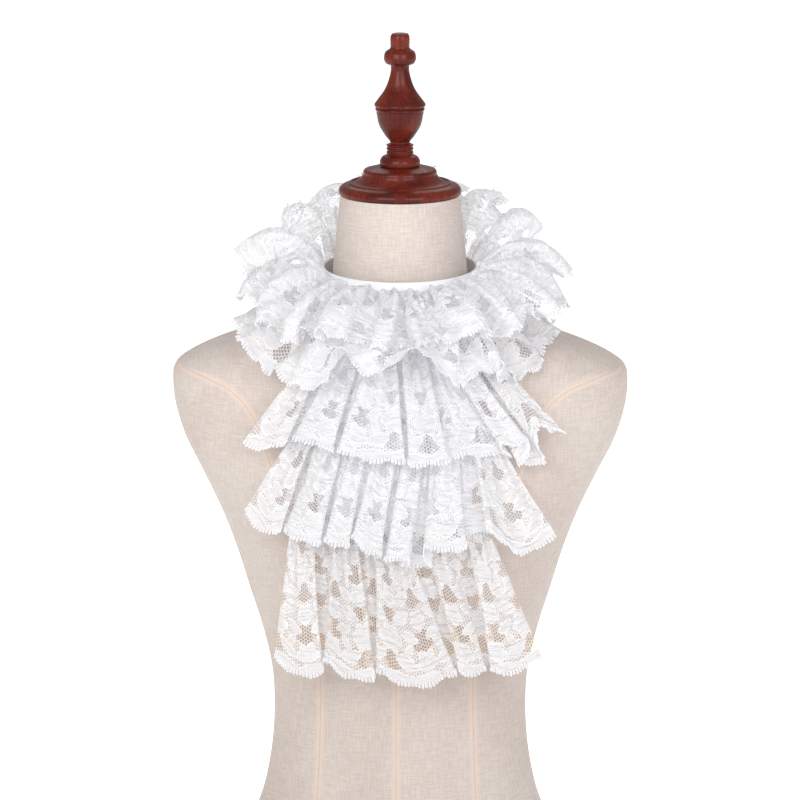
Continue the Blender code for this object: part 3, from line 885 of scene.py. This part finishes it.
def mahogany_material():
    """Mahogany turned on a lathe, stained dark red and varnished: straight grain up the piece with
    fine dark pores, under a clear satin coat that holds soft lights."""
    material, tree = new_material("varnished_mahogany")
    place = object_place(tree)
    drawn = put(tree, "ShaderNodeMapping", {"Vector": place, "Scale": (1.0, 1.0, 0.09)})
    grain = noise(tree, drawn, 420.0, 4.0, Roughness=0.6, Distortion=0.3)
    pores = noise(tree, drawn, 1100.0)
    figure = noise(tree, place, 42.0, 1.0)
    stain = blend(tree, step_up(tree, grain, 0.25, 0.75), "5A1B10", "7A2E1E")
    shade = blend(tree, step_up(tree, figure, 0.36, 0.62), "C9B4B8", "FFF6EE")
    toned = blend(tree, 1.0, stain, shade, blend_type="MULTIPLY")
    pore_share = maths(tree, "MULTIPLY", step_up(tree, pores, 0.42, 0.34), 0.3)
    wood = blend(tree, pore_share, toned, "2A0D0B")
    varnished = surface_of(tree, wood, 0.45, relief(tree, grain, 0.12, 0.2))
    varnished.inputs["Specular IOR Level"].default_value = 0.15
    varnished.inputs["Coat Weight"].default_value = 0.22
    varnished.inputs["Coat Roughness"].default_value = 0.10
    put(tree, "ShaderNodeOutputMaterial", {"Surface": varnished})
    return material


def nearest_seam(points):
    """Signed metres from each point of the cover to the nearest seam, beside it."""
    across, depth, height = np.moveaxis(points, -1, 0)
    front = depth < 0
    body = height < BODY_TOP
    distances = [np.where(body & (np.abs(across) < MIDDLE_SEAM_REACH), across, NO_SEAM)]
    for seam, facing in ((PRINCESS_SEAM, front), (BACK_SEAM, ~front)):
        place = curve_through(seam, height)[0]
        next_place = curve_through(seam, np.minimum(height + SEAM_STEP, seam[-1].height))[0]
        slant = SEAM_STEP / np.hypot(SEAM_STEP, next_place - place)
        near = facing & (height < seam[-1].height)
        distances.append(np.where(near, (np.abs(across) - place) * slant, NO_SEAM))
    distances.append(np.where(body & (np.abs(across) > SIDE_SEAM_START), depth, NO_SEAM))
    stack = np.stack(distances)
    return np.take_along_axis(stack, np.abs(stack).argmin(0)[None], 0)[0]


def close_ends(piece, rows, columns):
    """Weld a ring of columns where it meets itself, and fill its first and last row."""
    cells = bmesh.new()
    cells.from_mesh(piece.data)
    cells.verts.ensure_lookup_table()
    top = [cells.verts[column] for column in range(columns - 1)]
    bottom = [cells.verts[(rows - 1) * columns + column] for column in range(columns - 1)]
    cells.faces.new(top)
    cells.faces.new(list(reversed(bottom)))
    bmesh.ops.remove_doubles(cells, verts=cells.verts, dist=1e-6)
    bmesh.ops.recalc_face_normals(cells, faces=cells.faces)
    cells.to_mesh(piece.data)
    cells.free()
    piece.data.set_sharp_from_angle(angle=SHARP_ANGLE)


def lay_grain(mesh):
    """Lay each face of the cover flat along its nearest side, so that its threads run level and upright."""
    places = np.empty(len(mesh.vertices) * 3)
    mesh.vertices.foreach_get("co", places)
    places = places.reshape(-1, 3)
    cut = mesh.uv_layers["cut"].data
    sides = {0: (1, 2), 1: (0, 2), 2: (0, 1)}
    for face in mesh.polygons:
        facing = max(range(3), key=lambda axis: abs(face.normal[axis]))
        for corner, number in zip(face.loop_indices, face.vertices):
            cut[corner].uv = places[number][list(sides[facing])]


def build_cover(material):
    """The linen-covered body and neck, smooth and whole, on its flat base."""
    steps = np.linspace(0, len(TORSO) - 1, COVER_ROWS)
    heights = np.interp(steps, np.arange(len(TORSO)), [row.height for row in TORSO])[::-1]
    points = torso_points(heights, COVER_SIDES)
    cover = add_grid("form_cover", points, points[..., :2], material)
    mark_points(cover.data, "seam", nearest_seam(points))
    close_ends(cover, COVER_ROWS, COVER_SIDES + 1)
    lay_grain(cover.data)
    declare(cover, "linen", "form_torso")


def build_turned(name, profile, node, material):
    """A piece turned on a lathe about the form's own axis, its profile rounded between its points."""
    line = np.array(profile)
    keys = along_path(line)
    rows = (len(profile) - 1) * TURNED_STEPS + 1
    places = np.interp(np.linspace(0, len(profile) - 1, rows), np.arange(len(profile)), keys)
    radius, height = curve_through(np.column_stack([keys, line]), places[::-1])
    turns = TAU * np.arange(TURNED_SIDES + 1) / TURNED_SIDES
    ring_radius, turn = np.meshgrid(radius, turns, indexing="ij")
    ring_height = np.repeat(height[:, None], len(turns), axis=1)
    piece = add_grid(name, around(turn, ring_radius, ring_height), None, material)
    close_ends(piece, rows, TURNED_SIDES + 1)
    declare(piece, "turned_wood", node)


def uneven(along, down):
    """A soft crumple between -1 and 1 over the cut, with no beat that shows."""
    return sum(wave.size * np.sin(wave.along * along + wave.down * down + wave.start) for wave in WAVES)


def bow(start, middle, end, part):
    """Values on a bowed line from start to end past middle, and half their slope."""
    rest = 1 - part
    place = rest * rest * start + 2 * rest * part * middle + part * part * end
    return place, rest * (middle - start) + part * (end - middle)


def frill_point(frill, angle, part):
    """Points of a frill at angles round the neck and parts of its width from seam to hem."""
    degrees = np.degrees(angle)
    fall_radius, fall_height, hem_radius, hem_height = curve_through(frill.falls, np.abs(degrees))
    counted = [(*ruffle, index) for index, ruffle in enumerate(frill.ruffles)]
    crest_swing, droop, count = curve_through(counted, degrees)
    wave = TAU * count
    crest = (1 + np.cos(wave)) / 2
    hem_height = hem_height - droop * crest
    seam_height = band_top(angle) - frill.seam_drop
    seam_radius = band_radius(angle) + BAND_WALL / 2
    rise = np.abs(fall_height - seam_height)
    lean = rise / np.hypot(fall_radius - seam_radius, rise)
    seam_radius = seam_radius + SEAM_GAP + (LACE_WALL / 2 + FRILL_SEAM_SWING) * lean
    radius, run = bow(seam_radius, fall_radius, hem_radius, part)
    height, climb = bow(seam_height, fall_height, hem_height, part)
    length = np.hypot(run, climb)
    swing = FRILL_SEAM_SWING + (crest_swing - FRILL_SEAM_SWING) * part
    out = swing * np.cos(wave)
    sideways = FRILL_CURL * swing * np.sin(2 * wave)
    radius = radius - climb / length * out
    height = height + run / length * out
    return around(angle + sideways / radius, radius, height)


def fold_table(tier):
    """Where a tier's cloth turns at the hem: a row of place, how far forward, height and share of the top."""
    columns = []
    behind = tier.folds[0].hem_left
    for index, fold in enumerate(tier.folds):
        middle = (fold.left + fold.right) / 2
        if index > 0:
            columns.append((fold.left + tier.tuck - FOLD_ROUND, -1.0, behind))
            columns.append((fold.left + tier.tuck, -0.6, behind))
            columns.append((fold.left - FOLD_ROUND, 0.2, (behind + fold.hem_left) / 2))
        columns.append((fold.left, 0.8, fold.hem_left))
        columns.append((middle, 1.0, fold.hem_middle))
        columns.append((fold.right, 0.8, fold.hem_right))
        behind = fold.hem_behind
        if index < len(tier.folds) - 1:
            columns.append((fold.right + FOLD_ROUND, 0.2, (behind + fold.hem_right) / 2))
            columns.append((fold.right - tier.tuck, -0.6, behind))
            columns.append((fold.right - tier.tuck + FOLD_ROUND, -1.0, behind))
    line = np.array(columns)
    keys = along_path(line[:, :2] * (1.0, tier.swing))
    return np.column_stack([keys, line, np.linspace(0, 1, len(line))])


def tier_point(tier, key, part):
    """Points of a tier at keys along its fold table and parts of its depth."""
    place, forward, hem, share = curve_through(fold_table(tier), key)
    top = tier.top_left + (tier.top_right - tier.top_left) * share
    across = top + (place - top) * part
    height = tier.top + (hem - tier.top) * part
    swing = TIER_SEAM_SWING + (tier.swing - TIER_SEAM_SWING) * part ** 0.6
    lift = tier.lift_top + (tier.lift_hem - tier.lift_top) * part
    return np.stack([across, -(hang_depth(across, height) + lift + swing * forward), height], axis=-1)


def strip_grid(point_at, first, last, strip):
    """A coarse grid of a strip as drawn, in even steps along its hem, with its gathers and a soft crumple."""
    coarse = np.linspace(first, last, DRAWN_POINTS)
    length = along_path(point_at(coarse, np.ones_like(coarse)))
    columns = int(length[-1] / strip.step) + 1
    along = np.linspace(0, length[-1], columns)
    key = np.interp(along, length, coarse)[None]
    part = np.linspace(0, 1, strip.rows + 1)[:, None] + 0 * key
    points = point_at(key + 0 * part, part * strip.start)
    cut = along[None] + 0 * part
    pucker = np.sin(TAU * cut / GATHER_SPACING + GATHER_ROAM * uneven(cut * GATHER_SLOWER, 0 * part))
    push = strip.gather * pucker * np.exp(-(part / strip.reach) ** 2) * np.minimum(part * 8, 1.0)
    push += CRUMPLE_DRAWN * part * uneven(cut, part * 0.08)
    return points + grid_normals(points) * push[..., None]


def add_blocker():
    """The form's surface, which the cloth can't pass while it settles."""
    heights = np.linspace(BLOCKER_TOP, BLOCKER_BOTTOM, BLOCKER_ROWS)
    blocker = add_grid("cloth_blocker", torso_points(heights, BLOCKER_SIDES), None, None)
    blocker.modifiers.new("Block", "COLLISION")
    blocker.collision.thickness_outer = BLOCKER_SKIN
    blocker.collision.cloth_friction = BLOCKER_FRICTION
    return blocker


def add_cloth_rules(cloth):
    """The rules that the lace settles by, once its groups of points are there for them to name."""
    modifier = cloth.modifiers.new("Settle", "CLOTH")
    rules = modifier.settings
    rules.quality = CLOTH_QUALITY
    rules.mass = CLOTH_MASS
    rules.tension_stiffness = CLOTH_STIFFNESS
    rules.compression_stiffness = CLOTH_STIFFNESS
    rules.shear_stiffness = CLOTH_SHEAR
    rules.bending_stiffness = CLOTH_BENDING
    rules.air_damping = CLOTH_AIR
    rules.vertex_group_mass = "hold"
    rules.vertex_group_shrink = "still"
    rules.shrink_max = 0.0
    rules.shrink_min = -CLOTH_GROWTH
    rules.effector_weights.gravity = CLOTH_GRAVITY
    touch = modifier.collision_settings
    touch.distance_min = CLOTH_GAP
    touch.use_self_collision = True
    touch.self_distance_min = CLOTH_GAP
    modifier.point_cache.frame_end = CLOTH_FRAMES


def settle(grids, strips):
    """Let all the lace fall together under the cloth simulation, its seams held, and return its grids."""
    blocker = add_blocker()
    sizes = [len(grid) * len(grid[0]) for grid in grids]
    firsts = [sum(sizes[:index]) for index in range(len(sizes))]
    faces = []
    for grid, first in zip(grids, firsts):
        faces.extend(grid_faces(len(grid), len(grid[0]), first))
    points = np.concatenate([grid.reshape(-1, 3) for grid in grids])
    cloth = add_mesh("settling_cloth", points, faces, None)
    hold = cloth.vertex_groups.new(name="hold")
    still = cloth.vertex_groups.new(name="still")
    for grid, strip, first, size in zip(grids, strips, firsts, sizes):
        hold.add(range(first, first + size), strip.hold, "REPLACE")
        still.add(range(first, first + size), 1 - strip.growth, "REPLACE")
        hold.add(range(first, first + 2 * len(grid[0])), 1.0, "REPLACE")
    add_cloth_rules(cloth)
    for number in range(1, CLOTH_FRAMES + 1):
        bpy.context.scene.frame_set(number)
    graph = bpy.context.evaluated_depsgraph_get()
    settled = np.empty(len(points) * 3, np.float32)
    cloth.evaluated_get(graph).data.vertices.foreach_get("co", settled)
    bpy.data.objects.remove(cloth)
    bpy.data.objects.remove(blocker)
    bpy.context.scene.frame_set(1)
    pieces = np.split(settled.reshape(-1, 3).astype(float), firsts[1:])
    return [piece.reshape(grid.shape) for piece, grid in zip(pieces, grids)]


def rounded(grid, places):
    """Points of a grid at places counted in rows, a column of places for each of its columns."""
    last = len(grid) - 1
    low = np.clip(places.astype(int), 0, last - 1)
    before, start, end, after = [
        np.take_along_axis(grid, np.clip(low + step, 0, last)[..., None], 0) for step in (-1, 0, 1, 2)
    ]
    return smooth_between(start, end, (end - before) / 2, (after - start) / 2, (places - low)[..., None])


def lace_strip(name, grid, fullness, material):
    """A thin lace shell on a settled grid, with its scalloped hem, and its cut's length and width."""
    length = along_path(grid[-1])
    columns = int(length[-1] / LACE_STEP) + 1
    along = np.linspace(0, length[-1], columns)
    places = np.interp(along, length, np.arange(len(length)))
    wide = rounded(np.swapaxes(grid, 0, 1), places[:, None] + np.zeros(len(grid))[None])
    fine = np.swapaxes(wide, 0, 1)
    widths = np.linalg.norm(np.diff(fine, axis=0), axis=2).sum(0)
    fine = np.concatenate([fine, 2 * fine[-1:] - fine[-2:-1]])
    part = np.linspace(0, 1, LACE_ROWS + 1)[:, None] * (1 + scallop(along) / widths)[None]
    points = rounded(fine, part * (len(grid) - 1))
    width = float(widths.mean())
    cut = np.stack([along[None] + 0 * part, (1 - part) * width], axis=-1)
    crumple = uneven(CRUMPLE_FINER * cut[..., 0], CRUMPLE_FINER * cut[..., 1])
    crumple = crumple * CRUMPLE_SETTLED * MM * np.minimum(part * 3, 1.0)
    points = points + grid_normals(points) * crumple[..., None]
    shell = add_grid(name, points, cut, material)
    held_in = np.linalg.norm(np.gradient(points, axis=1), axis=2)
    layers = np.clip((along[1] - along[0]) * fullness / np.maximum(held_in, 1e-6), 1.0, MOST_LAYERS)
    mark_points(shell.data, "layers", layers)
    return shell, points, (float(length[-1]), width)


def lace_jobs():
    """Each lace piece's name, drawn grid, strip and what it hangs from."""
    jobs = []
    for frill in (FRILL_UPPER, FRILL_LOWER):
        grid = strip_grid(partial(frill_point, frill), -FRILL_END_ANGLE, FRILL_END_ANGLE, FRILL_STRIP)
        jobs.append((frill.name, grid, FRILL_STRIP, "neck_band_tape"))
    for tier, strip in ((TIER_UPPER, TIER_STRIP), (TIER_MIDDLE, TIER_STRIP), (TIER_LOWER, HEM_STRIP)):
        grid = strip_grid(partial(tier_point, tier), 0.0, float(fold_table(tier)[-1, 0]), strip)
        jobs.append((tier.name, grid, strip, "bib_backing_panel"))
    return jobs


def loop_tree():
    """Geometry nodes that lay a small loop of thread on each point, along its own direction."""
    tree = bpy.data.node_groups.new("thread_loops", "GeometryNodeTree")
    sockets = (
        ("Points", "NodeSocketGeometry"), ("Loop width", "NodeSocketFloat"),
        ("Loop length", "NodeSocketFloat"), ("Thread", "NodeSocketFloat"), ("Material", "NodeSocketMaterial"),
    )
    for label, kind in sockets:
        tree.interface.new_socket(label, in_out="INPUT", socket_type=kind)
    tree.interface.new_socket("Loops", in_out="OUTPUT", socket_type="NodeSocketGeometry")
    given = put(tree, "NodeGroupInput").outputs
    ring = put(tree, "GeometryNodeCurvePrimitiveCircle", {"Resolution": LOOP_SIDES, "Radius": 0.5})
    shift = maths(tree, "MULTIPLY", given["Loop length"], LOOP_SHIFT)
    place = put(tree, "ShaderNodeCombineXYZ", {"Y": shift})
    size = put(tree, "ShaderNodeCombineXYZ", {"X": given["Loop width"], "Y": given["Loop length"], "Z": 1.0})
    loop = put(tree, "GeometryNodeTransform", {"Geometry": ring, "Translation": place, "Scale": size})
    radius = maths(tree, "MULTIPLY", given["Thread"], 0.5)
    section = put(tree, "GeometryNodeCurvePrimitiveCircle", {"Resolution": THREAD_SIDES, "Radius": radius})
    tube = put(tree, "GeometryNodeCurveToMesh", {"Curve": loop, "Profile Curve": section})
    down, face = [
        put(tree, "GeometryNodeInputNamedAttribute", {"Name": label}, data_type="FLOAT_VECTOR")
        for label in ("down", "face")
    ]
    turned = put(tree, "FunctionNodeAxesToRotation", {
        "Primary Axis": down, "Secondary Axis": face,
    }, primary_axis="Y", secondary_axis="Z")
    vary = put(tree, "FunctionNodeRandomValue", {
        "Min": LOOP_LEAST, "Max": LOOP_MOST, "Seed": LOOP_SEED,
    }, data_type="FLOAT_VECTOR")
    loops = put(tree, "GeometryNodeInstanceOnPoints", {
        "Points": given["Points"], "Instance": tube, "Rotation": turned, "Scale": vary,
    })
    real = put(tree, "GeometryNodeRealizeInstances", {"Geometry": loops})
    painted = put(tree, "GeometryNodeSetMaterial", {"Geometry": real, "Material": given["Material"]})
    put(tree, "NodeGroupOutput", {"Loops": painted})
    return tree


def thread_loops(name, tree, line, sizes, material):
    """Loops of thread at points with their directions, as one plain mesh."""
    points, down, face = line
    mesh = bpy.data.meshes.new(name + "_points")
    mesh.from_pydata([tuple(point) for point in points], [], [])
    for label, values in (("down", down), ("face", face)):
        layer = mesh.attributes.new(label, "FLOAT_VECTOR", "POINT")
        layer.data.foreach_set("vector", values.ravel().astype(np.float32))
    holder = add_object(name + "_points", mesh)
    modifier = holder.modifiers.new(name, "NODES")
    modifier.node_group = tree
    inputs = {**dict(zip(("Loop width", "Loop length", "Thread"), sizes)), "Material": material}
    for item in tree.interface.items_tree:
        if item.in_out == "INPUT" and item.name in inputs:
            modifier[item.identifier] = inputs[item.name]
    graph = bpy.context.evaluated_depsgraph_get()
    plain = bpy.data.meshes.new_from_object(holder.evaluated_get(graph))
    plain.name = name
    made = add_object(name, plain)
    bpy.data.objects.remove(holder)
    plain.shade_smooth()
    return made


def build_picots(name, points, tree, material):
    """Loops along the last row of a strip's grid."""
    length = along_path(points[-1])
    places = even_places(length, PICOT_SPACING)
    vectors = (points[-1], unit(points[-1] - points[-3]), grid_normals(points)[-1])
    line = [at_places(places, length, values) for values in vectors]
    return thread_loops(name, tree, line, (PICOT_WIDTH, PICOT_LENGTH, PICOT_THREAD), material)


def build_lace(lace, loops, thread):
    """The frills and tiers, settled together, with their picots, each tied to the frame."""
    jobs = lace_jobs()
    settled = settle([job[1] for job in jobs], [job[2] for job in jobs])
    for (name, _, strip, rests_on), grid in zip(jobs, settled):
        shell, points, flat = lace_strip(name + "_lace", grid, strip.fullness, lace)
        picots = build_picots(name + "_picots", points, loops, thread)
        declare(shell, "lace", name)
        declare(picots, "lace")


def build_stitches(tree, material):
    """A row of machine stitches along the band's top edge, outside and inside."""
    angle = np.linspace(-math.pi, math.pi - BAND_OVERLAP, STITCH_LINE_POINTS)
    rows = []
    for side in (1, -1):
        radius = band_radius(angle) + side * BAND_WALL / 2
        line = around(angle, radius, band_top(angle) - STITCH_INSET)
        length = along_path(line)
        places = even_places(length, STITCH_LENGTH)
        run = unit(np.gradient(line, axis=0))
        out = np.cross(run, (0.0, 0.0, side))
        rows.append([at_places(places, length, values) for values in (line, run, out)])
    line = [np.concatenate(values) for values in zip(*rows)]
    sizes = (STITCH_THREAD, STITCH_LENGTH - STITCH_THREAD, STITCH_THREAD)
    return thread_loops("band_stitches", tree, line, sizes, material)


def add_tape(name, angle, radius, top, height, rows, wall, material):
    """An upright strip of tape round the neck, with a wall, and the length of its cut."""
    share = np.linspace(0, 1, rows + 1)[:, None]
    points = around(angle[None] + 0 * share, radius[None] + 0 * share, top[None] - height * share)
    length = along_path(points[0])
    cut = np.stack([length[None] + 0 * share, -height * share + 0 * length[None]], axis=-1)
    tape = add_grid(name, points, cut, material)
    solidify = tape.modifiers.new("Wall", "SOLIDIFY")
    solidify.thickness = wall
    solidify.offset = 0.0
    return tape, round(float(length[-1]), 3)


def build_band(material, loops, thread):
    """The neck band, whose one end laps inside the other at the centre back."""
    lap = BAND_WALL + FASTENING_WALL + 2 * SEAM_GAP
    angle = np.linspace(-math.pi, math.pi + BAND_OVERLAP, BAND_STEPS + 1)
    rise = np.clip((angle - math.pi + BAND_OVERLAP) / BAND_OVERLAP, 0.0, 1.0)
    radius = band_radius(angle) - lap * rise
    band, length = add_tape(
        "neck_band_tape", angle, radius, band_top(angle), BAND_HEIGHT, BAND_ROWS, BAND_WALL, material,
    )
    declare(band, "tape", "neck_band")
    stitches = build_stitches(loops, thread)
    declare(stitches, "tape")


def build_fastening(material):
    """The pad that joins the band's lapped ends."""
    first = math.pi + (BAND_OVERLAP - FASTENING_SPAN) / 2
    angle = np.linspace(first, first + FASTENING_SPAN, FASTENING_STEPS + 1)
    radius = band_radius(angle) - ((BAND_WALL + FASTENING_WALL) / 2 + SEAM_GAP)
    top = band_top(angle) - (BAND_HEIGHT - FASTENING_HEIGHT) / 2
    pad, length = add_tape(
        "band_fastening_pad", angle, radius, top, FASTENING_HEIGHT, FASTENING_ROWS, FASTENING_WALL, material,
    )
    declare(pad, "tape", "band_fastening")


def build_backing(material):
    """The plain panel under the tiers: its top edge follows the band, and it widens below."""
    top = BAND_TOP_FRONT - BAND_HEIGHT - SEAM_GAP
    height = top + (BACKING_BOTTOM - top) * np.linspace(0, 1, BACKING_ROWS + 1)[:, None]
    free = np.minimum((top - height) / BACKING_YOKE, 1.0)
    half_width = BACKING_TOP_HALF_WIDTH + (BACKING_HALF_WIDTH - BACKING_TOP_HALF_WIDTH) * free
    across = half_width * np.linspace(-1, 1, BACKING_STEPS + 1)[None]
    heights = height + 0 * across
    hang = hang_depth(across, heights) + BACKING_DEPTH
    band = BAND_HALF_DEPTH * np.sqrt(1 - np.minimum(np.abs(across) / BAND_HALF_WIDTH, 1.0) ** 2)
    points = np.stack([across, -(band + (hang - band) * free), heights], axis=-1)
    cut = np.stack([across, heights], axis=-1)
    backing = add_grid("bib_backing_panel", points, cut, material)
    declare(backing, "tape", "bib_backing")


def main():
    """Set up the studio, then dress the form from the inside out."""
    make_camera()
    make_studio()
    make_floor()
    linen = linen_material()
    wood = mahogany_material()
    tape = tape_material()
    lace = lace_material()
    thread = picot_material()
    build_cover(linen)
    build_turned("neck_cap_turned", CAP_PROFILE, "neck_cap", wood)
    build_turned("finial_turned", FINIAL_PROFILE, "finial", wood)
    loops = loop_tree()
    build_band(tape, loops, thread)
    build_fastening(tape)
    build_backing(tape)
    build_lace(lace, loops, thread)


main()
